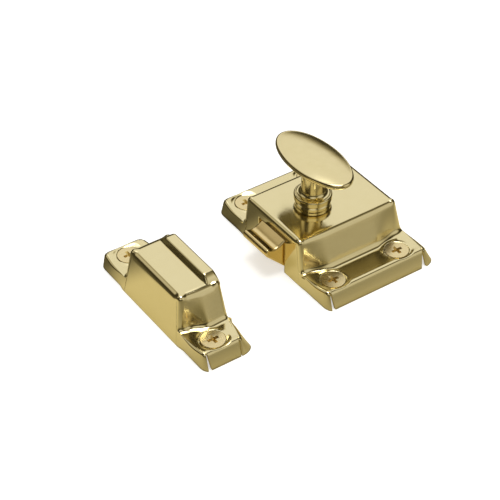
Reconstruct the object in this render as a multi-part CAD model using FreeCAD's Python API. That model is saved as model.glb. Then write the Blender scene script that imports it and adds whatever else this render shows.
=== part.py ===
"""Cupboard catch with a turning knob, and its strike. All sizes are in millimetres.

The origin lies on the mounting plane, in the middle of the four case screws.
+X runs across the flanges, -Y is the side the bolt comes out of and +Z is up.
"""
import FreeCAD
import Part
import math
import os

V = FreeCAD.Vector

# Sheet and fits
sheet = 0.8              # thickness of the pressed brass
over = 40.0              # spare length of a block that is only cut with
running_fit = 0.05       # radial, between a turning shaft and its hole
press_gap = 0.02         # left between pressed or soldered faces
slide_gap = 0.35         # between the bolt and what guides it
screw_gap = 0.10         # between a screw and its hole

# Case: raised box
case_height = 14.8
case_top_half = 12.5     # half width of the flat top, to the sharp edge
case_side_lean = 0.346   # sideways per mm of drop
case_front = -17.05      # front edge of the flat top
case_front_lean = 0.007
case_back = 16.8
case_back_lean = 0.143
case_edge_round = 2.1
case_corner_round = 1.5

# Case: flanges, across X
flange_rim_half = 25.4   # where the dish turns down into the skirt
flange_skirt_half = 27.0 # bottom of the skirt
flange_rim_height = 5.6
flange_foot_height = 4.5 # where the dish meets the raised box
flange_sag = 0.3         # hollow of the dish below a straight line
flange_foot_half = 15.5
foot_round = 1.9
flange_front_rim = -16.6
flange_front_foot = -17.0
flange_back_rim = 17.8
flange_back_foot = 20.8
rim_round = 1.4

# Screws
screw_span_x = 41.6
screw_span_y = 22.3
screw_head_radius = 3.4
screw_shank_radius = 1.75
screw_length = 16.0
screw_head_angle = 82.0
screw_land = 0.15        # flat rim of the head
screw_rise = 0.1         # head above the middle of the dish
cross_width = 0.95
cross_reach = 1.75
cross_depth = 1.5

# Knob
knob_y = -3.1
head_long = 30.2
head_short = 14.8
head_middle = 29.6       # height of the widest line of the head
head_crown = 1.9
head_belly = 1.7
stem_radius = 3.4
flare_radius = 4.6
collar_radius = 5.45
collar_height = 2.0
collar_round = 0.5
bush_ring_radius = 5.1
bush_ring_height = 1.4
bush_sleeve_radius = 3.6
spindle_radius = 2.6
tenon_radius = 1.9
turn_angle = 80.0        # full turn of the knob in degrees

# Crank under the case top
crank_reach = 5.0        # spindle to crank pin
crank_thick = 1.2
crank_hub_radius = 3.7
crank_tip_radius = 2.1
crank_pin_radius = 1.1
washer_thick = 0.3
pin_head = 0.4           # how far the riveted head stands past the pin

# Bolt
nose_half = 5.7
nose_reach = 5.95        # how far the tip stands out of the front wall
bolt_half = 8.4
bolt_below_crank = 1.1
bolt_floor = 1.4         # underside of the bolt
bolt_back = 0.0
bolt_wall = 1.5
lip_below_top = 1.2      # top of the round lip of the nose below the bolt top
lip_drop = 2.3
dish_below_top = 1.6     # lowest point of the hollow in the nose
edge_break = 0.5
window_gap = 0.5         # between the bolt and the window in the front wall

# Cage, rod and spring behind the bolt
cage_floor = 0.3         # underside of the cage above the mounting plane
cage_front = -13.0
cage_side_back = -2.0
cage_ear = 1.2           # how far an ear reaches out under the case top
lug_y = 14.2
lug_half = 4.5
lug_height = 9.6
rod_radius = 1.2
rod_height = 6.0
coil_radius = 2.35
coil_wire = 0.2          # radius of the wire
coil_turns = 12

# Strike, in its own frame
strike_x = 0.9
strike_y = -50.5
strike_height = 14.8
strike_lip_rise = 1.8
strike_top_half = 12.1
strike_end_lean = 0.388
strike_lip_half = 9.5
strike_front = -5.85
strike_front_lean = 0.132
strike_back = 7.2
strike_back_lean = 0.02
strike_step = 3.0        # where the flat top meets the lip
strike_step_run = 0.9
strike_corner_round = 2.0
strike_edge_round = 1.9
strike_foot_round = 1.2
strike_rim_half = 25.3
strike_skirt_half = 26.7
strike_rim_height = 5.4
strike_foot_height = 4.5
strike_foot_half = 15.0
strike_front_rim = -7.0
strike_front_foot = -7.4
strike_back_rim = 5.3
strike_back_foot = 8.6
strike_screw_x = 21.0
strike_screw_y = -1.1
mouth_gap = 1.4          # above the bolt
mouth_half = 7.6


# Heights and places that follow from the sizes above
case_ceiling = case_height - sheet
bush_top = case_height + bush_ring_height
collar_foot = bush_top + 0.2
collar_top = collar_foot + collar_height
sleeve_foot = case_ceiling - 0.3
crank_top = sleeve_foot - washer_thick - 2 * running_fit
crank_foot = crank_top - crank_thick
washer_radius = crank_reach - crank_pin_radius - pin_head - 0.3
bolt_top = crank_foot - bolt_below_crank
lip_height = bolt_top - lip_below_top
dish_low = bolt_top - dish_below_top
window_half = nose_half + window_gap
window_top = bolt_top + window_gap + 0.1
mouth_top = bolt_top + mouth_gap
case_screw_top = (flange_rim_height + flange_foot_height) / 2 - flange_sag + screw_rise
strike_screw_top = (strike_rim_height + strike_foot_height) / 2 - flange_sag + screw_rise
start_angle = math.radians(-turn_angle / 2)
pin_x = crank_reach * math.cos(start_angle)
pin_y = knob_y + crank_reach * math.sin(start_angle)
bolt_travel = 2 * crank_reach * math.sin(math.radians(turn_angle / 2))
screw_cone = (screw_head_radius - screw_shank_radius) / math.tan(math.radians(screw_head_angle / 2))
wall_inside = case_front - case_front_lean * case_height + sheet
nose_tip = case_front - nose_reach
bolt_shoulder = wall_inside + 0.3
cage_half = bolt_half + slide_gap


def flat_face(points):
    """Flat face inside a closed line of corner points."""
    corners = [V(*p) for p in points]
    return Part.Face(Part.makePolygon(corners + [corners[0]]))


def box(x0, x1, y0, y1, z0, z1):
    """Upright block between two corners."""
    return Part.makeBox(x1 - x0, y1 - y0, z1 - z0, V(x0, y0, z0))


def rod(radius, z0, z1, x=0.0, y=0.0):
    """Upright round bar."""
    return Part.makeCylinder(radius, z1 - z0, V(x, y, z0))


def edges_near(shape, test):
    """Edges whose middle passes the test."""
    found = []
    for edge in shape.Edges:
        middle = edge.valueAt((edge.FirstParameter + edge.LastParameter) / 2)
        if test(middle, edge):
            found.append(edge)
    return found


def turned(points, y=0.0):
    """Solid of revolution about an upright axis from (radius, height) corners."""
    face = flat_face([(r, 0, z) for r, z in points])
    body = face.revolve(V(0, 0, 0), V(0, 0, 1), 360)
    body.translate(V(0, y, 0))
    return body


def dished_flanges(rim, skirt, height, foot, front, back, inset):
    """Both flanges as one block: dished across X, skirts splayed out all round.

    foot is the half width and the height at which the dish runs into the raised box.
    """
    low = 0.0 if inset == 0 else -1.0
    splay = (skirt - rim) / height
    top = height - inset
    edge = rim - inset + splay * inset
    skirt_end = skirt - inset - splay * low
    inner = foot[0] - inset
    floor = foot[1] - inset
    middle = (edge + inner) / 2
    sag = (top + floor) / 2 - flange_sag
    shelf = [
        Part.Arc(V(edge, 0, top), V(middle, 0, sag), V(inner, 0, floor)).toShape(),
        Part.makeLine(V(inner, 0, floor), V(-inner, 0, floor)),
        Part.Arc(V(-inner, 0, floor), V(-middle, 0, sag), V(-edge, 0, top)).toShape(),
        Part.makeLine(V(-edge, 0, top), V(-skirt_end, 0, low)),
        Part.makeLine(V(-skirt_end, 0, low), V(skirt_end, 0, low)),
        Part.makeLine(V(skirt_end, 0, low), V(edge, 0, top)),
    ]
    across = Part.Face(Part.Wire(shelf))
    across.translate(V(0, -over, 0))
    across = across.extrude(V(0, 2 * over, 0))
    front_splay = (front[0] - front[1]) / height
    back_splay = (back[1] - back[0]) / height
    along = flat_face([
        (-over, front[1] + inset + front_splay * low, low),
        (-over, back[1] - inset - back_splay * low, low),
        (-over, back[0] - inset - back_splay, height + 1),
        (-over, front[0] + inset + front_splay, height + 1),
    ]).extrude(V(2 * over, 0, 0))
    block = across.common(along)
    if inset == 0:
        rims = edges_near(block, lambda m, e: m.z > floor + 0.1
                          and abs(m.x) > middle - 1
                          and e.Length > 5)
        block = block.makeFillet(rim_round, rims)
    return block


def joined(raised, wings, foot_half, soft, inset):
    """Raised box and flanges in one, the outer skin with a soft foot along each side."""
    whole = raised.fuse(wings).removeSplitter()
    if inset > 0:
        return whole
    feet = edges_near(whole, lambda m, e: foot_half - 2 < abs(m.x) < foot_half + 2
                      and 3.4 < m.z < 5.2
                      and e.Length > 8)
    return whole.makeFillet(soft, feet)


def raised_box(inset):
    """Raised box of the case, leaning inwards on all sides."""
    low = 0.0 if inset == 0 else -1.0
    top = case_height - inset
    rings = []
    for z in (low, top):
        drop = case_height - z
        half = case_top_half + case_side_lean * drop - inset
        front = case_front - case_front_lean * drop + inset
        back = case_back + case_back_lean * drop - inset
        corners = [V(-half, front, z), V(half, front, z), V(half, back, z), V(-half, back, z)]
        rings.append(Part.makePolygon(corners + [corners[0]]))
    block = Part.makeLoft(rings, True, True)
    softened = edges_near(block, lambda m, e: m.z > low + 0.1)
    return block.makeFillet(case_edge_round - inset, softened)


def corner_notch(x, y, side_end, tip, apex):
    """Wedge that parts the end skirt from the side skirt at one corner."""
    way = 1 if y > 0 else -1
    hand = 1 if x > 0 else -1
    foot = [
        V(hand * (abs(x) + 2), side_end, -0.6),
        V(hand * (abs(x) + 2), y + way * 2, -0.6),
        V(hand * (tip + 0.1), y + way * 2, -0.6),
        V(hand * (tip - 0.4), side_end, -0.6),
    ]
    ring = Part.makePolygon(foot + [foot[0]])
    return Part.makeLoft([ring, Part.Vertex(V(hand * apex[0], apex[1], apex[2]))], True, True)


def screw_seat(x, y, head_top, extra):
    """Cone under a screw head; extra thickens it for the pressed seat below."""
    up = 1.0
    top = head_top - screw_land
    slope = math.tan(math.radians(screw_head_angle / 2))
    head = screw_head_radius + screw_gap + extra
    shank = screw_shank_radius + screw_gap + extra
    depth = (head - shank) / slope
    return Part.makeCone(shank, head + up * slope, depth + up, V(x, y, top - depth))


def seated_holes(shell_outer, shell_inner, places, top):
    """Thin shell with a pressed countersink and a hole at every screw."""
    for x, y in places:
        shell_inner = shell_inner.cut(screw_seat(x, y, top, sheet))
    shell = shell_outer.cut(shell_inner)
    for x, y in places:
        shell = shell.cut(screw_seat(x, y, top, 0.0))
        shell = shell.cut(rod(screw_shank_radius + screw_gap, -1, top, x, y))
    return shell


def case_screw_places():
    """Middle of each case screw."""
    return [(sx * screw_span_x / 2, sy * screw_span_y / 2) for sx in (-1, 1) for sy in (-1, 1)]


def case():
    """Pressed case: raised box, dished flanges, bolt window and bush hole."""
    front = (flange_front_rim, flange_front_foot)
    back = (flange_back_rim, flange_back_foot)
    foot = (flange_foot_half, flange_foot_height)
    skins = []
    for inset in (0.0, sheet):
        wings = dished_flanges(flange_rim_half, flange_skirt_half, flange_rim_height, foot, front, back, inset)
        skins.append(joined(raised_box(inset), wings, flange_foot_half, foot_round, inset))
    shell = seated_holes(skins[0], skins[1], case_screw_places(), case_screw_top)
    shell = shell.cut(box(-window_half, window_half, case_front - 3, wall_inside + 1, -1, window_top))
    shell = shell.cut(rod(bush_sleeve_radius + press_gap, case_ceiling - 1, case_height + 1, 0, knob_y))
    peak = flange_rim_height - 0.4
    for hand in (-1, 1):
        x = hand * flange_skirt_half
        near = (flange_rim_half - 0.2, flange_front_rim + 0.3, peak)
        far = (flange_rim_half - 0.3, flange_back_rim - 0.4, peak)
        shell = shell.cut(corner_notch(x, flange_front_foot, flange_front_foot + 1.7, 26.0, near))
        shell = shell.cut(corner_notch(x, flange_back_foot, flange_back_foot - 2.8, 26.2, far))
    return shell


def bush():
    """Ring on the case top with a sleeve pressed through it."""
    r = bush_ring_radius
    body = turned([
        (spindle_radius + running_fit, sleeve_foot),
        (bush_sleeve_radius, sleeve_foot),
        (bush_sleeve_radius, case_height + press_gap),
        (r - 0.1, case_height + press_gap),
        (r, case_height + 0.25),
        (r, bush_top - 0.4),
        (r - 0.4, bush_top),
        (spindle_radius + running_fit, bush_top),
    ], knob_y)
    return body


def knob_head():
    """Oval head: a turned lens drawn in to an oval."""
    r = head_long / 2
    edge = 1.0
    crown = head_middle + head_crown
    belly = head_middle - head_belly
    profile = [
        Part.Arc(V(0, 0, crown), V(0.55 * r, 0, crown - 0.18 * head_crown),
                 V(r - edge, 0, head_middle + 0.8 * edge)).toShape(),
        Part.Arc(V(r - edge, 0, head_middle + 0.8 * edge), V(r, 0, head_middle),
                 V(r - edge, 0, head_middle - 0.8 * edge)).toShape(),
        Part.Arc(V(r - edge, 0, head_middle - 0.8 * edge), V(0.6 * r, 0, belly + 0.25),
                 V(0, 0, belly)).toShape(),
        Part.makeLine(V(0, 0, belly), V(0, 0, crown)),
    ]
    lens = Part.Face(Part.Wire(profile)).revolve(V(0, 0, 0), V(0, 0, 1), 360)
    squeeze = FreeCAD.Matrix()
    squeeze.scale(1, head_short / head_long, 1)
    return lens.transformGeometry(squeeze)


def knob():
    """Head, stem, collar and spindle in one piece."""
    r = collar_radius
    flare_top = collar_top + 1.5
    outline = [
        Part.makeLine(V(0, 0, head_middle), V(stem_radius, 0, head_middle)),
        Part.makeLine(V(stem_radius, 0, head_middle), V(stem_radius, 0, flare_top)),
        Part.Arc(V(stem_radius, 0, flare_top),
                 V(stem_radius + 0.3, 0, collar_top + 0.55),
                 V(flare_radius, 0, collar_top + 0.15)).toShape(),
        Part.makeLine(V(flare_radius, 0, collar_top + 0.15), V(r - collar_round, 0, collar_top)),
        Part.Arc(V(r - collar_round, 0, collar_top),
                 V(r - 0.3 * collar_round, 0, collar_top - 0.3 * collar_round),
                 V(r, 0, collar_top - collar_round)).toShape(),
    ]
    lower = [
        (r, collar_top - collar_round),
        (r, collar_foot + 0.4),
        (r - 0.3, collar_foot),
        (spindle_radius, collar_foot),
        (spindle_radius, crank_top + press_gap),
        (tenon_radius, crank_top + press_gap),
        (tenon_radius, crank_foot - press_gap),
        (tenon_radius + 0.6, crank_foot - press_gap),
        (tenon_radius + 0.3, crank_foot - 0.4),
        (0, crank_foot - 0.4),
        (0, head_middle),
    ]
    for a, b in zip(lower[:-1], lower[1:]):
        outline.append(Part.makeLine(V(a[0], 0, a[1]), V(b[0], 0, b[1])))
    shaft = Part.Face(Part.Wire(outline)).revolve(V(0, 0, 0), V(0, 0, 1), 360)
    body = knob_head().fuse(shaft)
    body.translate(V(0, knob_y, 0))
    return body


def spindle_washer():
    """Thin washer between the bush and the crank."""
    foot = crank_top + running_fit
    ring = rod(washer_radius, foot, foot + washer_thick, 0, knob_y)
    return ring.cut(rod(spindle_radius + running_fit, foot - 1, foot + 1, 0, knob_y))


def crank():
    """Arm on the foot of the spindle, a tangent link between two round ends."""
    lean = math.acos((crank_hub_radius - crank_tip_radius) / crank_reach)
    c = math.cos(lean)
    s = math.sin(lean)
    web = flat_face([
        (crank_hub_radius * c, crank_hub_radius * s, 0),
        (crank_hub_radius * c, -crank_hub_radius * s, 0),
        (crank_reach + crank_tip_radius * c, -crank_tip_radius * s, 0),
        (crank_reach + crank_tip_radius * c, crank_tip_radius * s, 0),
    ]).extrude(V(0, 0, crank_thick))
    arm = web.fuse(rod(crank_hub_radius, 0, crank_thick))
    arm = arm.fuse(rod(crank_tip_radius, 0, crank_thick, crank_reach)).removeSplitter()
    arm = arm.cut(rod(tenon_radius + press_gap, -1, crank_thick + 1))
    arm = arm.cut(rod(crank_pin_radius + press_gap, -1, crank_thick + 1, crank_reach))
    arm.rotate(V(0, 0, 0), V(0, 0, 1), math.degrees(start_angle))
    arm.translate(V(0, knob_y, crank_foot))
    return arm


def crank_pin():
    """Pin riveted into the tip of the crank."""
    top = crank_top + press_gap
    pin = rod(crank_pin_radius, bolt_top - 2.3, top, pin_x, pin_y)
    head = Part.makeCone(crank_pin_radius + pin_head, crank_pin_radius + 0.1, 0.35, V(pin_x, pin_y, top))
    return pin.fuse(head).removeSplitter()


def bolt_nose():
    """Nose seen from the side: hollow top, round lip, bevel underneath."""
    tip = nose_tip
    low = lip_height - lip_drop
    bevel_end = tip + 0.4 + (low - bolt_floor)
    hip = bolt_shoulder + 2
    mouth = wall_inside - 0.1
    dip = (tip + mouth) / 2
    sweep = Part.BSplineCurve()
    sweep.buildFromPoles([
        V(0, mouth, bolt_top),
        V(0, mouth - 2.2, dish_low + 0.2),
        V(0, dip - 0.3, dish_low - 0.25),
        V(0, tip + 1.6, lip_height - 0.2),
        V(0, tip + 0.2, lip_height + 0.6),
        V(0, tip - 0.5, low + 0.9),
        V(0, tip + 0.4, low),
    ])
    outline = [
        Part.makeLine(V(0, hip, bolt_floor), V(0, hip, bolt_top)),
        Part.makeLine(V(0, hip, bolt_top), V(0, mouth, bolt_top)),
        sweep.toShape(),
        Part.makeLine(V(0, tip + 0.4, low), V(0, bevel_end, bolt_floor)),
        Part.makeLine(V(0, bevel_end, bolt_floor), V(0, hip, bolt_floor)),
    ]
    side = Part.Face(Part.Wire(outline))
    side.translate(V(-nose_half, 0, 0))
    nose = side.extrude(V(2 * nose_half, 0, 0))
    rails = edges_near(nose, lambda m, e: abs(m.x) > nose_half - 0.01 and bolt_floor + 0.1 < m.z < bolt_top - 0.1
                       and m.y < hip - 0.1)
    return nose.makeFillet(edge_break, rails)


def bolt():
    """Cast bolt: nose, wider hollow body, cross slot and rod hole."""
    body = box(-bolt_half, bolt_half, bolt_shoulder, bolt_back, bolt_floor, bolt_top)
    uprights = edges_near(body, lambda m, e: abs(m.z - (bolt_floor + bolt_top) / 2) < 0.1)
    body = body.makeFillet(0.8, uprights)
    body = body.fuse(bolt_nose()).removeSplitter()
    hollow_front = bolt_shoulder + bolt_wall
    hollow = box(-bolt_half + bolt_wall, bolt_half - bolt_wall, hollow_front,
                 bolt_back - bolt_wall, bolt_floor - 1, bolt_top - bolt_wall)
    body = body.cut(hollow)
    play = crank_pin_radius + 0.18
    slot_near = pin_x - 0.3
    slot_far = crank_reach + 0.3
    slot = box(slot_near, slot_far, pin_y - play, pin_y + play, bolt_top - 3, bolt_top + 1)
    for x in (slot_near, slot_far):
        slot = slot.fuse(rod(play, bolt_top - 3, bolt_top + 1, x, pin_y))
    body = body.cut(slot)
    hole = Part.makeCylinder(rod_radius + 0.08, bolt_wall + 2, V(0, bolt_back - bolt_wall - 1, rod_height), V(0, 1, 0))
    return body.cut(hole)


def bolt_cage():
    """Folded strip: floor under the bolt, sides, ears at the case top and a rear lug."""
    inner = cage_half
    outer = cage_half + sheet
    roof = case_ceiling - press_gap
    strip = box(-outer, outer, cage_front, lug_y + sheet, cage_floor, cage_floor + sheet)
    for hand in (-1, 1):
        near = min(hand * inner, hand * outer)
        strip = strip.fuse(box(near, near + sheet, cage_front, cage_side_back, cage_floor, roof))
        x0 = min(hand * inner, hand * (outer + cage_ear))
        x1 = max(hand * inner, hand * (outer + cage_ear))
        strip = strip.fuse(box(x0, x1, cage_front, cage_side_back, roof - sheet, roof))
        waste = box(min(hand * lug_half, hand * 20), max(hand * lug_half, hand * 20),
                    cage_side_back, lug_y + 2, cage_floor - 1, cage_floor + 2)
        strip = strip.cut(waste)
    strip = strip.fuse(box(-lug_half, lug_half, lug_y, lug_y + sheet, cage_floor, lug_height))
    strip = strip.removeSplitter()
    folds = edges_near(strip, lambda m, e: abs(m.z - cage_floor) < 0.01
                       and (abs(abs(m.x) - outer) < 0.01 or abs(m.y - lug_y - sheet) < 0.01))
    strip = strip.makeFillet(0.9 * sheet, folds)
    hole = Part.makeCylinder(rod_radius + press_gap, 4, V(0, lug_y - 2, rod_height), V(0, 1, 0))
    return strip.cut(hole)


def spring_rod():
    """Rod staked in the rear lug, its free end runs in the back of the bolt."""
    start = bolt_back - bolt_wall - 1
    end = lug_y + sheet + press_gap
    shaft = Part.makeCylinder(rod_radius, end - start, V(0, start, rod_height), V(0, 1, 0))
    head = Part.makeCone(rod_radius + 0.8, rod_radius + 0.3, 0.7, V(0, end, rod_height), V(0, 1, 0))
    return shaft.fuse(head).removeSplitter()


def bolt_spring():
    """Coil spring between the bolt and the rear lug."""
    start = bolt_back + coil_wire + 0.15
    length = lug_y - bolt_back - 2 * coil_wire - 0.3
    path = Part.makeHelix(length / coil_turns, length, coil_radius)
    wire = Part.Wire(Part.Circle(V(coil_radius, 0, 0), V(0, 1, 0), coil_wire).toShape())
    coil = Part.Wire(path).makePipeShell([wire], True, True)
    coil.rotate(V(0, 0, 0), V(1, 0, 0), -90)
    coil.translate(V(0, start, rod_height))
    return coil


def wood_screw(x, y, top):
    """Countersunk wood screw with a cross recess and a plain pointed shank."""
    foot = top - screw_length
    body = turned([
        (0, top),
        (screw_head_radius, top),
        (screw_head_radius, top - screw_land),
        (screw_shank_radius, top - screw_land - screw_cone),
        (screw_shank_radius, foot + 4),
        (0.15, foot),
        (0, foot),
    ])
    blade = flat_face([
        (-cross_reach, -cross_width / 2, top + 0.1),
        (cross_reach, -cross_width / 2, top + 0.1),
        (0.35 * cross_reach, -cross_width / 2, top - cross_depth),
        (-0.35 * cross_reach, -cross_width / 2, top - cross_depth),
    ]).extrude(V(0, cross_width, 0))
    other = blade.copy()
    other.rotate(V(0, 0, 0), V(0, 0, 1), 90)
    body = body.cut(blade.fuse(other))
    body.translate(V(x, y, 0))
    return body


def case_screws():
    """The four screws of the case as one group."""
    return Part.makeCompound([wood_screw(x, y, case_screw_top) for x, y in case_screw_places()])


def strike_block(inset):
    """Raised box of the strike with its lip, cut to shape across and along."""
    low = 0.0 if inset == 0 else -1.0
    top = strike_height - inset
    crest = strike_height + strike_lip_rise - inset
    spread = strike_top_half + strike_end_lean * (strike_height - low) - inset
    shoulder = strike_top_half + strike_end_lean * inset - inset
    tip = strike_lip_half - 0.4 * inset
    across = flat_face([
        (-spread, -over, low), (spread, -over, low), (shoulder, -over, top),
        (tip, -over, crest), (-tip, -over, crest), (-shoulder, -over, top),
    ]).extrude(V(0, 2 * over, 0))
    front = strike_front + inset
    front_low = front - strike_front_lean * (strike_height - low)
    front_top = front - strike_front_lean * inset
    back = strike_back - inset
    back_low = back + strike_back_lean * (strike_height - low)
    step = strike_step + 0.6 * inset
    along = flat_face([
        (-over, front_low, low), (-over, back_low, low), (-over, back, crest),
        (-over, step + strike_step_run, crest), (-over, step, top), (-over, front_top, top),
    ]).extrude(V(2 * over, 0, 0))
    block = across.common(along)
    mid = (low + top) / 2
    corners = edges_near(block, lambda m, e: abs(m.z - mid) < 1 and m.y < 0)
    block = block.makeFillet(strike_corner_round - inset, corners)
    soft = edges_near(block, lambda m, e: abs(m.z - top) < 0.5 and m.y < step - 0.5)
    block = block.makeFillet(strike_edge_round - inset, soft)
    return block


def strike():
    """Pressed strike: raised box with a lip, flanges and the open mouth."""
    front = (strike_front_rim, strike_front_foot)
    back = (strike_back_rim, strike_back_foot)
    foot = (strike_foot_half, strike_foot_height)
    skins = []
    for inset in (0.0, sheet):
        wings = dished_flanges(strike_rim_half, strike_skirt_half, strike_rim_height, foot, front, back, inset)
        skins.append(joined(strike_block(inset), wings, strike_foot_half, strike_foot_round, inset))
    places = [(sx * strike_screw_x, strike_screw_y) for sx in (-1, 1)]
    shell = seated_holes(skins[0], skins[1], places, strike_screw_top)
    shell = shell.cut(box(-mouth_half, mouth_half, strike_back - 2.5, strike_back_foot + 2, -1, mouth_top))
    peak = strike_rim_height - 0.4
    for hand in (-1, 1):
        x = hand * strike_skirt_half
        near = (strike_rim_half - 0.2, strike_front_rim + 0.3, peak)
        far = (strike_rim_half - 0.3, strike_back_rim - 0.4, peak)
        shell = shell.cut(corner_notch(x, strike_front_foot, strike_front_foot + 1.5, 25.2, near))
        shell = shell.cut(corner_notch(x, strike_back_foot, strike_back_foot - 1.2, 25.6, far))
    shell.translate(V(strike_x, strike_y, 0))
    return shell


def strike_screws():
    """The two screws of the strike as one group."""
    y = strike_y + strike_screw_y
    return Part.makeCompound([wood_screw(strike_x + s * strike_screw_x, y, strike_screw_top) for s in (-1, 1)])


def main():
    """Write one file for every piece."""
    os.makedirs("parts", exist_ok=True)
    pieces = {
        "case": case,
        "bush": bush,
        "knob": knob,
        "spindle_washer": spindle_washer,
        "crank": crank,
        "crank_pin": crank_pin,
        "bolt": bolt,
        "bolt_cage": bolt_cage,
        "spring_rod": spring_rod,
        "bolt_spring": bolt_spring,
        "case_screws": case_screws,
        "strike": strike,
        "strike_screws": strike_screws,
    }
    for name, make in pieces.items():
        shape = make()
        print(name, shape.ShapeType, len(shape.Solids), shape.isValid(), round(shape.Volume, 1))
        shape.exportStep("parts/" + name + ".step")


main()
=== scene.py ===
# %% [markdown]
# # Cupboard catch in polished brass
# This lesson dresses a small cupboard catch: a pressed case with a turning knob and a spring bolt, and the strike
# that it closes into. The solid model is loaded first, as a frame that nothing here moves. Each later cell looks at
# one piece or one finish, says what it is on the real object, and builds it.

# %% Load the frame
import math
import bpy
import bmesh
from mathutils import Matrix, Vector


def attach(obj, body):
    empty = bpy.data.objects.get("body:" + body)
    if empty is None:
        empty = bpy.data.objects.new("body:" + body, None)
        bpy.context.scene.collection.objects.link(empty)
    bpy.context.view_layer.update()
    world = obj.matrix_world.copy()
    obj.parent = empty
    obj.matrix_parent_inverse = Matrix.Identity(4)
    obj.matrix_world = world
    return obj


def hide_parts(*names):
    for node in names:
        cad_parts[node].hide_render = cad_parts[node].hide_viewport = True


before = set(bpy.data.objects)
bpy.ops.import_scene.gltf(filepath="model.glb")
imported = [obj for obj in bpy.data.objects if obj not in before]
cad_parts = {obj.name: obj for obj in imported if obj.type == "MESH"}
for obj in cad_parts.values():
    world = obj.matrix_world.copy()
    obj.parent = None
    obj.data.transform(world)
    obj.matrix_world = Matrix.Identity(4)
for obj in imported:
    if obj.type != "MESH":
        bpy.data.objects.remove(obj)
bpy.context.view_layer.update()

# %% [markdown]
# ## Writing shader maths as plain sums
# A finish here is a small network of nodes. Wiring a network by hand is slow to read, so one class stands for a socket
# and knows how to add, subtract and multiply. A line such as `0.1 + 0.05 * grain` then makes its own Math nodes. Any
# other node comes from one method, `node`, which is given its type, its settings and what goes into its sockets.

# %% A socket that can do sums
class Socket:
    """One output of a node. Sums on it add Math nodes."""

    def __init__(self, net, source):
        self.net = net
        self.source = source

    def sum_with(self, how, first, second):
        return self.net.node("ShaderNodeMath", {"operation": how}, {0: first, 1: second})

    def __add__(self, other):
        return self.sum_with("ADD", self, other)

    __radd__ = __add__

    def __sub__(self, other):
        return self.sum_with("SUBTRACT", self, other)

    def __rsub__(self, other):
        return self.sum_with("SUBTRACT", other, self)

    def __mul__(self, other):
        return self.sum_with("MULTIPLY", self, other)

    __rmul__ = __mul__


class Net:
    """A node tree that is built one call at a time."""

    def __init__(self, tree):
        self.tree = tree
        self.tree.nodes.clear()

    def node(self, kind, settings=None, feeds=None, out=0):
        """Make a node, set it, feed its sockets with values or Sockets, and hand back one output."""
        made = self.tree.nodes.new(kind)
        for name, value in (settings or {}).items():
            if name == "stops":
                ramp = made.color_ramp
                while len(ramp.elements) < len(value):
                    ramp.elements.new(0.5)
                for element, (place, shade) in zip(ramp.elements, value):
                    element.position = place
                    element.color = (shade, shade, shade, 1)
            else:
                setattr(made, name, value)
        for name, value in (feeds or {}).items():
            if isinstance(value, Socket):
                self.tree.links.new(value.source, made.inputs[name])
            else:
                made.inputs[name].default_value = value
        return Socket(self, made.outputs[out]) if made.outputs else None


def fresh_material(name):
    """An empty material and the net to fill it."""
    material = bpy.data.materials.new(name)
    material.use_nodes = True
    return material, Net(material.node_tree)


print("shader helpers are ready")

# %% [markdown]
# ## Polished brass
# The case and the strike are stamped from brass sheet, polished and clear lacquered. A real polish is never a perfect
# mirror: the sheet is faintly wavy from the press, fine hairlines run across it, and here and there the lacquer is a
# little cloudy. The waves and hairlines go into a bump, and the clouds into roughness. The base colour changes only a
# little, because brass that is lacquered new has one even tone. The knob is polished by hand and wavier, the bolt is
# cast and a little duller, and the screws are only plated.

# %% The brass recipe
def brass(name, tone, shade, polish, wave, hair):
    """Brass of a tone and its cloudy shade; wave and hair are heights in metres, polish is the least roughness."""
    material, net = fresh_material(name)
    place = net.node("ShaderNodeTexCoord", out="Object")
    broad = net.node("ShaderNodeTexNoise", {"noise_dimensions": "3D"},
                     {"Vector": place, "Scale": 110.0, "Detail": 2.0, "Roughness": 0.45})
    clouds = net.node("ShaderNodeTexNoise", {}, {"Vector": place, "Scale": 260.0, "Detail": 5.0, "Roughness": 0.6})
    stretched = net.node("ShaderNodeMapping", {}, {"Vector": place, "Rotation": (0.3, 0.2, 0.5),
                                                   "Scale": (300.0, 5200.0, 2600.0)})
    hairs = net.node("ShaderNodeTexNoise", {}, {"Vector": stretched, "Scale": 1.0, "Detail": 3.0, "Roughness": 0.7})
    tint = net.node("ShaderNodeMix", {"data_type": "RGBA"},
                    {0: clouds, 6: (*tone, 1), 7: (*shade, 1)}, out=2)
    dull = net.node("ShaderNodeMapRange", {}, {"Value": clouds, "From Min": 0.35, "From Max": 0.75,
                                               "To Min": polish, "To Max": polish + 0.07})
    height = wave * broad + hair * hairs
    bump = net.node("ShaderNodeBump", {}, {"Height": height, "Strength": 1.0, "Distance": 1.0})
    skin = net.node("ShaderNodeBsdfPrincipled", {}, {"Base Color": tint, "Metallic": 1.0,
                                                     "Roughness": dull, "Normal": bump})
    net.node("ShaderNodeOutputMaterial", {}, {"Surface": skin})
    return material


sheet_brass = brass("sheet_brass", (0.84, 0.75, 0.46), (0.81, 0.71, 0.41), 0.10, 0.00006, 0.0000012)
turned_brass = brass("turned_brass", (0.84, 0.74, 0.44), (0.80, 0.69, 0.38), 0.12, 0.00003, 0.0000016)
knob_brass = brass("knob_brass", (0.84, 0.74, 0.44), (0.78, 0.67, 0.37), 0.12, 0.00010, 0.0000016)
cast_brass = brass("cast_brass", (0.84, 0.68, 0.36), (0.78, 0.61, 0.30), 0.14, 0.00005, 0.000002)
plated_brass = brass("plated_brass", (0.84, 0.72, 0.42), (0.78, 0.64, 0.35), 0.19, 0.00003, 0.000003)
print("brass finishes:", [m.name for m in (sheet_brass, turned_brass, knob_brass, cast_brass, plated_brass)])

# %% [markdown]
# ## Inner steel
# What works inside the case is plain steel: the folded cage, the crank and the spring. Rolled sheet has a grain that
# runs one way, and drawn wire is darker and smoother.

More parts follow.
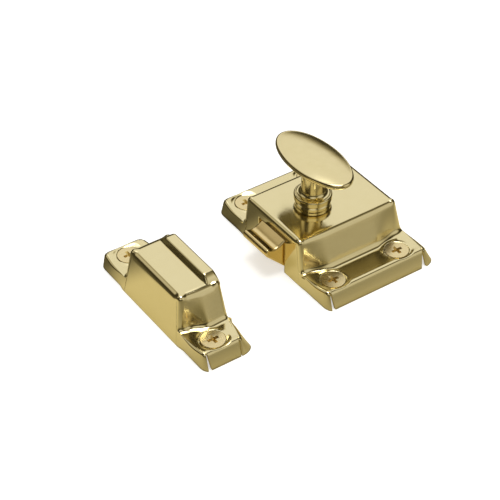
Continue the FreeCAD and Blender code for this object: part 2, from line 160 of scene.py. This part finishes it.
# %% The steel recipe
def steel(name, tone, rough, grain):
    """Rolled or drawn steel with a grain along one way."""
    material, net = fresh_material(name)
    place = net.node("ShaderNodeTexCoord", out="Object")
    along = net.node("ShaderNodeMapping", {}, {"Vector": place, "Scale": (2400.0, 160.0, 2400.0)})
    lines = net.node("ShaderNodeTexNoise", {}, {"Vector": along, "Scale": 1.0, "Detail": 4.0, "Roughness": 0.6})
    stains = net.node("ShaderNodeTexNoise", {}, {"Vector": place, "Scale": 180.0, "Detail": 3.0})
    dark = tuple(0.7 * c for c in tone)
    tint = net.node("ShaderNodeMix", {"data_type": "RGBA"},
                    {0: stains, 6: (*tone, 1), 7: (*dark, 1)}, out=2)
    height = grain * lines
    bump = net.node("ShaderNodeBump", {}, {"Height": height, "Strength": 1.0, "Distance": 1.0})
    skin = net.node("ShaderNodeBsdfPrincipled", {}, {"Base Color": tint, "Metallic": 1.0,
                                                     "Roughness": rough + 0.15 * lines, "Normal": bump})
    net.node("ShaderNodeOutputMaterial", {}, {"Surface": skin})
    return material


rolled_steel = steel("rolled_steel", (0.56, 0.55, 0.53), 0.28, 0.000006)
drawn_wire = steel("drawn_wire", (0.40, 0.40, 0.41), 0.22, 0.000003)

print("steel finishes:", [m.name for m in (rolled_steel, drawn_wire)])

# %% [markdown]
# ## Every solid gets its finish
# The finishes are given out by the names of the solids. The case and the strike get theirs too, although pressed
# shells stand in for them further down.

# %% Finishes onto the solids
finishes = {
    "case": sheet_brass, "strike": sheet_brass, "bush": turned_brass, "knob": knob_brass,
    "bolt": cast_brass, "case_screws": plated_brass, "strike_screws": plated_brass,
    "bolt_cage": rolled_steel, "crank": rolled_steel, "crank_pin": rolled_steel,
    "spindle_washer": rolled_steel, "spring_rod": rolled_steel, "bolt_spring": drawn_wire,
}
for name, finish in finishes.items():
    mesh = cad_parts[name].data
    mesh.materials.clear()
    mesh.materials.append(finish)
print("finished", len(finishes), "solids")

# %% [markdown]
# ## Pressed shells
# The case and the strike are drawn from one sheet each. Drawing leaves signs that plain solid faces don't have: the
# sloping walls stand almost upright at the corners and belly out between them, the foot runs into the flange in a
# soft curve, the rim of each flange is rolled over, and round every screw the sheet is dented to seat the head. Each
# shell is laid down here as a net of profile lines. One line starts on the flat top, bends over the edge, runs down
# the wall to the foot, out over the flange, round the rim and down the skirt. Lengths in these cells are in
# millimetres.

# %% Profile lines with rounded corners
MM = 0.001
BEND_STEPS = 8


def rounded(corners, reaches, steps, bend_steps=BEND_STEPS):
    """Walk from corner to corner, each inner corner rounded off by its reach."""
    line = [corners[0]]
    start = corners[0]
    for i in range(1, len(corners)):
        end = corners[i]
        straight = steps[i - 1]
        if i == len(corners) - 1:
            line += [start.lerp(end, k / straight) for k in range(1, straight + 1)]
            break
        reach = reaches[i - 1]
        stop = end - (end - corners[i - 1]).normalized() * reach
        after = end + (corners[i + 1] - end).normalized() * reach
        line += [start.lerp(stop, k / straight) for k in range(1, straight + 1)]
        for k in range(1, bend_steps + 1):
            f = k / bend_steps
            line.append((1 - f) ** 2 * stop + 2 * f * (1 - f) * end + f * f * after)
        start = after
    return line


def ease(value, low, high):
    """Smooth step from 0 to 1."""
    f = min(max((value - low) / (high - low), 0), 1)
    return f * f * (3 - 2 * f)


def net_faces(shape, lines, keep=None):
    """Join neighbouring lines into faces that look outwards; keep can leave faces out by their middle."""
    rows = [[shape.verts.new(MM * p) for p in line] for line in lines]
    faces = []
    for one, two in zip(rows[:-1], rows[1:]):
        for k in range(len(one) - 1):
            quad = (one[k], one[k + 1], two[k + 1], two[k])
            middle = 1000 * sum((v.co for v in quad), Vector()) / 4
            if keep is None or keep(middle):
                faces.append(shape.faces.new(quad))
    mean_y = sum(v.co.y for row in rows for v in row) / sum(len(row) for row in rows)
    below = Vector((0, mean_y, -0.02))
    facing = 0
    for face in faces:
        face.normal_update()
        facing += face.calc_area() * face.normal.dot(face.calc_center_median() - below)
    if facing < 0:
        bmesh.ops.reverse_faces(shape, faces=faces)
    for face in faces:
        face.smooth = True


print("profile tools are ready,", BEND_STEPS, "steps to a bend")

# %% [markdown]
# ## Sizes of the two shells
# Both shells share one recipe, so each is a list of sizes. Sizes that differ between the bolt side and the other side
# are kept under -1 for the front (low y) and 1 for the back. `lean` is how far a wall leans out for each millimetre of
# height in the middle of the side, and `lean_end` is the same at the corners. `slip` parts the skirts at a corner: with
# no slip the corner is closed.

# %% Sizes
case_sizes = {
    "height": 14.8, "foot": 4.5, "half": 12.6, "corner": 1.3, "place": (0, 0, 0),
    "edge": 1.7, "fillet": 1.6, "rim_round": 1.25, "roll": {-1: 2.3, 1: 1.3},
    "wall": {-1: -17.05, 1: 16.8}, "tilt": {-1: 0.007, 1: 0.143},
    "lean": 0.35, "lean_end": {-1: 0.14, 1: 0.21}, "belly": 8.0, "side_steps": 150,
    "rim": 25.4, "rim_z": 5.6, "rims": {-1: -16.6, 1: 17.8},
    "skirt": 27.0, "feet": {-1: -17.0, 1: 20.8}, "slip": {-1: 0.7, 1: 1.0},
    "dish": (15.5, 25.4), "sag": 0.3,
    "screws": [(x, y) for x in (-20.8, 20.8) for y in (-11.15, 11.15)], "seat": 4.85,
    "window": (6.2, -1), "sill": 11.6,
}
strike_sizes = {
    "height": 14.8, "foot": 4.5, "half": 12.5, "corner": 1.3, "place": (0.9, -50.5, 0),
    "edge": 2.3, "fillet": 1.5, "rim_round": 1.25, "roll": {-1: 2.3, 1: 1.3},
    "wall": {-1: -5.85, 1: 7.2}, "tilt": {-1: 0.132, 1: 0.02},
    "lean": 0.37, "lean_end": {-1: 0.15, 1: 0.34}, "belly": 6.0, "side_steps": 56,
    "rim": 25.3, "rim_z": 5.4, "rims": {-1: -7.0, 1: 5.3},
    "skirt": 26.7, "feet": {-1: -7.4, 1: 8.6}, "slip": {-1: 0.7, 1: 0},
    "dish": (15.0, 25.3), "sag": 0.3,
    "screws": [(-21.0, -1.1), (21.0, -1.1)], "seat": 4.75,
    "window": (7.6, 1), "sill": 12.4,
    "lip": {"half": 12.2, "flat": 8.8,
            "line": [(2.7, 14.6), (3.1, 14.83), (3.85, 16.6), (7.21, 16.6), (7.21, 12.9)]},
}
print("case is", 2 * case_sizes["skirt"], "mm wide, strike is", 2 * strike_sizes["skirt"], "mm wide")

# %% [markdown]
# ## Dents and dishes
# The flange is pressed hollow between the wall and the rim, deepest half way. Round each screw the sheet follows the
# countersunk head down as a cone, and a shallow dent outside the head runs out into the flange.

# %% Pressing a point down
HEAD_RADIUS = 3.5
DENT_RADIUS = 5.0
UNDER_HEAD = 0.02
CONE_START = 0.12
CONE_SLOPE = 1.15
CONE_DEPTH = 2.2


def dented(p, s):
    """Point p pressed down by the dish of its flange and by the seats of the screws."""
    inner, outer = s["dish"]
    u = (abs(p.x) - inner) / (outer - inner)
    z = p.z
    if 0 < u < 1 and s["foot"] - 0.4 < p.z < s["rim_z"] + 0.4:
        z -= 4 * s["sag"] * u * (1 - u) * ease(s["rim_z"] + 0.4 - p.z, 0, 0.3)
    for x, y in s["screws"]:
        away = math.hypot(p.x - x, p.y - y)
        if away < DENT_RADIUS and s["foot"] - 1 < z < s["rim_z"] + 1.5:
            seat = s["seat"] - UNDER_HEAD
            if away < HEAD_RADIUS:
                seat = max(seat - CONE_START - CONE_SLOPE * (HEAD_RADIUS - away), s["seat"] - CONE_DEPTH)
            z = seat + (z - seat) * ease(away, HEAD_RADIUS + 0.05, DENT_RADIUS)
    return Vector((p.x, p.y, z))


print("a screw dents the sheet out to", DENT_RADIUS, "mm")

# %% [markdown]
# ## Lines down the side
# The lines start in the quarter turn of the front corner, go along the side and end in the quarter turn of the back
# corner. On the flange they fan out so that the last ones stop short of the rim's own corner, where the skirts part.

# %% One line from the top to the end skirt
SIDE_STEPS = (1, 10, 44, 4)
EAR = 1.2
PART = 3


def lean_at(y, s):
    """How far the side wall leans out, less near the corners."""
    near = 1 - ease(y - s["wall"][-1] - s["corner"], 0, s["belly"])
    far = 1 - ease(s["wall"][1] - s["corner"] - y, 0, s["belly"])
    return s["lean"] - (s["lean"] - s["lean_end"][-1]) * near - (s["lean"] - s["lean_end"][1]) * far


def edge_reach(away, s):
    """Reach of the round along the top edge, held back near a corner."""
    return min(s["edge"], s["corner"] - 0.05 + 0.8 * away)


def side_spots(s):
    """Corner, straight side and corner: (direction angle, place along the side)."""
    first, last = s["wall"][-1] + s["corner"], s["wall"][1] - s["corner"]
    length = s["wall"][1] - s["wall"][-1] - 2 * s["corner"]
    spots = [(-90 + 9 * k, first) for k in range(10)]
    spots += [(0, first + length * k / s["side_steps"]) for k in range(1, s["side_steps"])]
    return spots + [(9 * k, last) for k in range(11)]


def side_line(angle, y, s):
    """One profile line from the top to the bottom of the end skirt."""
    r, top = s["corner"], s["height"]
    drop = top - s["foot"]
    c, d = math.cos(math.radians(angle)), math.sin(math.radians(angle))
    way = (angle > 0) - (angle < 0)
    lean, tilt = (s["lean_end"][way], s["tilt"][way]) if way else (lean_at(y, s), 0)
    edge = Vector((s["half"] - r + r * c, y + r * d, top))
    low = Vector((edge.x + lean * drop, edge.y + tilt * drop * d, s["foot"]))
    first, last = s["wall"][-1] + r, s["wall"][1] - r
    start, stop = s["rims"][-1] + EAR, s["rims"][1] - EAR
    if way < 0:
        y_rim = start + EAR * (1 + angle / 90)
    elif way > 0:
        y_rim = stop - EAR * (1 - angle / 90)
    else:
        y_rim = start + EAR + (stop - start - 2 * EAR) * (y - first) / (last - first)
    slip = s["slip"][-1] * max(0, 1 - (y_rim - start) / PART) - s["slip"][1] * max(0, 1 - (stop - y_rim) / PART)
    rim = Vector((s["rim"], y_rim, s["rim_z"]))
    skirt = Vector((s["skirt"], y_rim + slip, 0))
    reach = edge_reach(max(0, min(y - first, last - y)), s)
    inner = edge - reach * Vector((c, d, 0))
    return rounded([inner, edge, low, rim, skirt], (reach, s["fillet"], s["rim_round"]), SIDE_STEPS)


print("the case has", len(side_spots(case_sizes)), "lines down each side")

# %% [markdown]
# ## Skirts at the front and back of a flange
# These hang from the first and the last side line. They start level with the wall, swing out to the rim, and turn round
# the corner towards the end skirt. Where the two skirts are parted the turn stops at eighty degrees and leaves a split.

# %% One front or back skirt
CORNER_LINES = 8
ROUND_SHARE = 0.9


def flange_skirt(line, way, hand, s):
    """Lines that fall from the front (way -1) or back (way 1) of a flange."""
    top, roll = s["height"], s["roll"][way]
    y_rim, y_foot = s["rims"][way], s["feet"][way]
    y_base = s["wall"][way] + way * s["tilt"][way] * top
    x_base = s["half"] - s["corner"] + s["lean_end"][way] * top
    wall_end = SIDE_STEPS[0] + BEND_STEPS + SIDE_STEPS[1]
    upper = line[wall_end:wall_end + BEND_STEPS + SIDE_STEPS[2] + 1]
    first_x, last_x = abs(upper[0].x), abs(upper[-1].x)
    fall = []
    for p in upper:
        f = (abs(p.x) - first_x) / (last_x - first_x)
        q = dented(p, s)
        edge = Vector((p.x, p.y + way * max(EAR * ease(f, 0, 0.8), 0.01), q.z))
        x_low = abs(p.x) + (x_base - first_x) * (1 - ease(f, 0, 0.35))
        low = Vector((hand * x_low, y_base + (y_foot - y_base) * ease(f, 0, 0.35), 0))
        reach = min(abs(edge.y - p.y), roll) + 0.005
        fall.append(rounded([q, edge, low], [min(reach, ROUND_SHARE * (edge - q).length)], (1, 6)))
    pole = dented(upper[-1], s)
    turn_step = 10 if s["slip"][way] else 11.25
    for k in range(1, CORNER_LINES + 1):
        turned = math.radians(turn_step * k)
        edge = pole + Vector((hand * (s["rim"] - last_x) * math.sin(turned), (y_rim - pole.y) * math.cos(turned), 0))
        low = Vector((pole.x + hand * (s["skirt"] - last_x) * math.sin(turned), pole.y, 0))
        low.y += (y_foot - pole.y) * math.cos(turned)
        fall.append(rounded([pole, edge, low], [min(roll, ROUND_SHARE * (edge - pole).length)], (1, 6)))
    return fall


print("a skirt turns its corner in", CORNER_LINES, "lines")

# %% [markdown]
# ## Front and back walls
# Each of these walls goes straight down to the mounting plane between its two flanges. The case has a window in its
# front for the bolt, and the strike has a mouth in its back. The lines are spread so that two of them run exactly along
# the sides of the opening.

# %% One end wall with its opening
HALF_LINES = 24
WALL_ABOVE, WALL_BELOW = 8, 32


def panel_x(share, z, way, s):
    """Place across a wall at height z; share runs from -1 to 1 and turns at the side of the opening."""
    cut, hole = s["window"]
    half = s["half"] - s["corner"] + s["lean_end"][way] * (s["height"] - z)
    window = cut if way == hole else half / 2
    if abs(share) <= 0.5:
        return 2 * share * window
    return math.copysign(window + (half - window) * (2 * abs(share) - 1), share)


def end_wall(way, s):
    """Lines down the front (way -1) or back (way 1) wall."""
    top, y, tilt = s["height"], s["wall"][way], s["tilt"][way]
    lines = []
    for k in range(-HALF_LINES, HALF_LINES + 1):
        share = k / HALF_LINES
        edge = Vector((panel_x(share, top, way, s), y, top))
        low = Vector((panel_x(share, 0, way, s), y + way * tilt * top, 0))
        reach = edge_reach(s["half"] - s["corner"] - abs(edge.x), s)
        inner = edge - Vector((0, way * reach, 0))
        line = rounded([inner, edge, low], [reach], (1, WALL_ABOVE + WALL_BELOW))
        if way == s["window"][1]:
            start = 1 + BEND_STEPS
            brow = line[start].z
            heights = [brow + (s["sill"] - brow) * i / WALL_ABOVE for i in range(WALL_ABOVE + 1)]
            heights += [s["sill"] * (1 - i / WALL_BELOW) for i in range(1, WALL_BELOW + 1)]
            line[start:] = [Vector((panel_x(share, z, way, s), y + way * tilt * (top - z), z)) for z in heights]
        lines.append(line)
    return lines


print("an end wall has", 2 * HALF_LINES + 1, "lines of", WALL_ABOVE + WALL_BELOW, "steps below the edge")

# %% [markdown]
# ## The lip of the strike
# The nose of the bolt rides up on a raised lip. It is as wide as the strike and dies away at both ends, where it also
# follows the rounded shoulder down.

# %% Lip
LIP_LINES = 60


def lip_lines(s):
    """Lines over the raised lip, from its step to the back of the strike."""
    top, edge, lip = s["height"], s["edge"], s["lip"]
    lines = []
    for k in range(-LIP_LINES, LIP_LINES + 1):
        x = lip["half"] * k / LIP_LINES
        rise = 1 - ease(abs(x), lip["flat"], lip["half"])
        bend = min(max(0, (abs(x) - s["half"] + edge) / edge), 1)
        sunk = 0.03 + edge * (1 - math.sqrt(1 - bend)) ** 2
        line = rounded([Vector((x, *spot)) for spot in lip["line"]], (0.35, 0.5, 0.8), (2, 2, 3, 4), 6)
        lines.append([Vector((p.x, p.y, min(p.z, top + (p.z - top) * rise) - sunk)) for p in line])
    return lines


print("lip is", round(strike_sizes["lip"]["line"][2][1] - strike_sizes["height"], 2), "mm high")

# %% [markdown]
# ## Putting a shell together
# The right side is laid down and mirrored to the left. Then come the two end walls, one flat face that closes the top,
# and the lip if there is one. A last step gives the net the even thickness of the sheet.

# %% One pressed shell
SHEET = 0.8
SAME_POINT = 0.002


def pressed_shell(name, s):
    """Shell with its top, four walls, two dished flanges and their skirts, from the sizes in s."""
    shape = bmesh.new()
    sides = [side_line(angle, y, s) for angle, y in side_spots(s)]
    tops = {}
    for hand in (1, -1):
        flip = [[Vector((hand * p.x, p.y, p.z)) for p in line] for line in sides]
        net_faces(shape, [[dented(p, s) for p in line] for line in flip])
        tops[hand] = [line[0] for line in flip]
        for line, way in ((flip[0], -1), (flip[-1], 1)):
            net_faces(shape, flange_skirt(line, way, hand, s))
    cut, hole = s["window"]
    walls = {way: end_wall(way, s) for way in (-1, 1)}
    for way, lines in walls.items():
        net_faces(shape, lines, None if way != hole else lambda m: not (abs(m.x) < cut and m.z < s["sill"]))
    front, back = ([line[0] for line in walls[way]] for way in (-1, 1))
    plateau = tops[1] + back[::-1] + tops[-1][::-1] + front
    ring = [p for k, p in enumerate(plateau) if (p - plateau[k - 1]).length > SAME_POINT]
    flat = shape.faces.new([shape.verts.new(MM * p) for p in ring])
    flat.smooth = True
    if "lip" in s:
        net_faces(shape, lip_lines(s))
    bmesh.ops.remove_doubles(shape, verts=shape.verts, dist=SAME_POINT * MM)
    mesh = bpy.data.meshes.new(name)
    shape.to_mesh(mesh)
    shape.free()
    mesh.transform(Matrix.Translation(Vector(s["place"]) * MM))
    mesh.materials.append(sheet_brass)
    piece = bpy.data.objects.new(name, mesh)
    bpy.context.scene.collection.objects.link(piece)
    sheet = piece.modifiers.new("sheet", "SOLIDIFY")
    sheet.thickness = SHEET * MM
    sheet.offset = -1
    return piece


case_shell = pressed_shell("case_shell", case_sizes)
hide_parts("case")
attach(case_shell, "case_body")
print("case shell has", len(case_shell.data.polygons), "faces")

strike_shell = pressed_shell("strike_shell", strike_sizes)
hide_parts("strike")
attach(strike_shell, "case_body")
print("strike shell has", len(strike_shell.data.polygons), "faces")

# %% [markdown]
# ## The camera
# The photo looks down at about forty degrees from the right of the bolt side, through a long lens. The three rows below
# are the camera's own right, up and back directions in the object's frame, worked out from straight edges in the photo.

# %% Set the camera
eye = Vector((0.28227, -0.22153, 0.29302))
right = Vector((0.57092, 0.82100, 0.00210)).normalized()
back = Vector((0.63105, -0.44046, 0.63857)).normalized()
right = (right - right.dot(back) * back).normalized()
up = back.cross(right)
lens = bpy.data.cameras.new("lens")
lens.lens = 115.89
lens.sensor_width = 36.0
lens.clip_start = 0.01
camera = bpy.data.objects.new("camera", lens)
turn = Matrix((right, up, back)).transposed()
camera.matrix_world = Matrix.Translation(eye) @ turn.to_4x4()
bpy.context.scene.collection.objects.link(camera)
bpy.context.scene.camera = camera
print("camera is", round(1000 * eye.length), "mm from the origin")

# %% [markdown]
# ## Floor and studio
# Polished metal shows its surroundings, so the studio decides how brass looks. A white wall behind on the left lights
# the flat tops, a small bright ceiling and one soft lamp hang overhead, and weaker patches stand on the right, at the
# front left and behind the camera. Between them the room is dark, which gives the crisp dark lines along the bends.
# The floor is smooth white board. To the camera it is plain white. The metal sees a painted reflection in it: a painted
# pool of warm light, brightest under the set and weaker to the right, and painted shade that makes it dark to the left.

# %% White floor
def white_floor():
    """Smooth white board that renders white to the camera and keeps the shadow; the metal's reflections see a painted
    warm pool of light and painted shade on the left.
    """
    material, net = fresh_material("white_board_with_painted_reflection")
    path = net.tree.nodes.new("ShaderNodeLightPath")
    seen = Socket(net, path.outputs["Is Camera Ray"])
    mirrored = Socket(net, path.outputs["Is Glossy Ray"]) + Socket(net, path.outputs["Is Transmission Ray"])
    soft = {"interpolation_type": "SMOOTHSTEP"}
    place = net.node("ShaderNodeTexCoord", out="Object")
    across = net.node("ShaderNodeSeparateXYZ", {}, {"Vector": place}, out="X")
    along = net.node("ShaderNodeSeparateXYZ", {}, {"Vector": place}, out="Y")
    # painted shade: the floor darkens to the left, only so that the metal mirrors it dark there
    painted_dark_left = net.node("ShaderNodeMapRange", soft, {"Value": across - 0.167 * along, "From Min": -0.017,
                                                      "From Max": -0.003, "To Min": 0.06, "To Max": 1.0})
    # painted light: the pool that the metal mirrors fades to the right
    painted_fade_right = net.node("ShaderNodeMapRange", soft, {"Value": across, "From Min": 0.006, "From Max": 0.045,
                                                     "To Min": 1.0, "To Max": 0.25})
    # painted pool of light on the floor, seen only in the metal's reflections
    painted_pool = painted_dark_left * painted_fade_right
    blend = {"data_type": "RGBA"}
    # painted gold reflection: the floor's glow is white to the camera and gold to every other ray
    painted_gold_hue = net.node("ShaderNodeMix", blend, {0: seen, 6: (1, 0.85, 0.38, 1), 7: (1, 1, 1, 1)}, out=2)
    to_eye, painted_to_metal = 0.56, 0.39
    # plain white glow to the camera, plus a painted warm pool of light that only glossy and transmission rays see
    glow_and_painted_pool = net.node("ShaderNodeEmission", {}, {"Color": painted_gold_hue, "Strength": to_eye * seen + painted_to_metal * painted_pool * mirrored})
    # painted shade: the board's colour is dark to the left and away from the set, and only rays that are not the
    # camera's see it
    painted_board_shade = net.node("ShaderNodeMix", blend, {0: painted_pool, 6: (0.10, 0.09, 0.05, 1), 7: (0.44, 0.41, 0.34, 1)}, out=2)
    board = net.node("ShaderNodeBsdfPrincipled", {}, {"Base Color": painted_board_shade, "Roughness": 0.12,
                                                      "Specular IOR Level": 0.15})
    matt = net.node("ShaderNodeBsdfDiffuse", {}, {"Color": (0.88, 0.88, 0.88, 1)})
    skin = net.node("ShaderNodeMixShader", {}, {0: seen, 1: board, 2: matt})
    both = net.node("ShaderNodeAddShader", {}, {0: skin, 1: glow_and_painted_pool})
    net.node("ShaderNodeOutputMaterial", {}, {"Surface": both})
    return material


shape = bmesh.new()
bmesh.ops.create_grid(shape, x_segments=2, y_segments=2, size=0.9)
floor_mesh = bpy.data.meshes.new("floor")
shape.to_mesh(floor_mesh)
shape.free()
floor_mesh.materials.append(white_floor())
floor = bpy.data.objects.new("floor", floor_mesh)
bpy.context.scene.collection.objects.link(floor)
print("floor laid at height 0")

# %% [markdown]
# ## Walls of the studio
# The world is a dark room with soft bright patches. A patch is given by the direction of its middle, the cosines
# between which its edge fades in, and its brightness. Dim light is tinted warm, because what lies in the dark of a
# studio is lit by what is near it.

# %% Studio walls
studio = bpy.data.worlds.new("studio")
bpy.context.scene.world = studio
studio.use_nodes = True
walls = Net(studio.node_tree)
look = walls.node("ShaderNodeTexCoord", out="Generated")


def patch(toward, start, end, level):
    """A soft bright patch of wall; start and end are cosines of the angle from its middle."""
    axis = Vector(toward).normalized()
    near = walls.node("ShaderNodeVectorMath", {"operation": "DOT_PRODUCT"}, {0: look, 1: tuple(axis)}, out="Value")
    return walls.node("ShaderNodeMapRange", {"interpolation_type": "SMOOTHSTEP"},
                      {"Value": near, "From Min": start, "From Max": end, "To Min": 0.0, "To Max": level})


rear_wall = patch((-0.60, 0.42, 0.82), 0.80, 0.93, 0.84)
ceiling = patch((-0.15, 0.05, 1), 0.92, 0.97, 1.0)
right_side = patch((0.80, 0.44, 0.42), 0.82, 0.96, 0.60)
front_left = patch((-0.60, -0.55, 0.75), 0.93, 0.975, 0.52)
camera_side = patch((0.63, -0.44, 0.60), 0.90, 0.96, 0.70)
high_right = patch((0.42, 0.44, 0.80), 0.95, 0.99, 0.16)
dark_room = 0.05
light = dark_room + rear_wall + ceiling + right_side + front_left + camera_side + high_right
tint = walls.node("ShaderNodeMix", {"data_type": "RGBA"},
                  {0: light, 6: (1.0, 0.84, 0.42, 1), 7: (1, 1, 1, 1)}, out=2)
wall_paint = walls.node("ShaderNodeBackground", {}, {"Color": tint, "Strength": light})
walls.node("ShaderNodeOutputWorld", {}, {"Surface": wall_paint})


def soft_lamp(name, place, aim, side, glare):
    """Square soft lamp; glare is how bright its face looks."""
    lamp = bpy.data.lights.new(name, "AREA")
    lamp.shape = "SQUARE"
    lamp.size = side
    lamp.energy = glare * math.pi * side * side
    holder = bpy.data.objects.new(name, lamp)
    way = Vector(place) - Vector(aim)
    holder.matrix_world = Matrix.Translation(Vector(place)) @ way.to_track_quat("Z", "Y").to_matrix().to_4x4()
    bpy.context.scene.collection.objects.link(holder)
    return holder


soft_lamp("overhead", (0.05, 0.0, 0.85), (0, -0.02, 0), 0.36, 6.0)
bpy.context.scene.view_settings.view_transform = "Standard"
print("studio is lit")
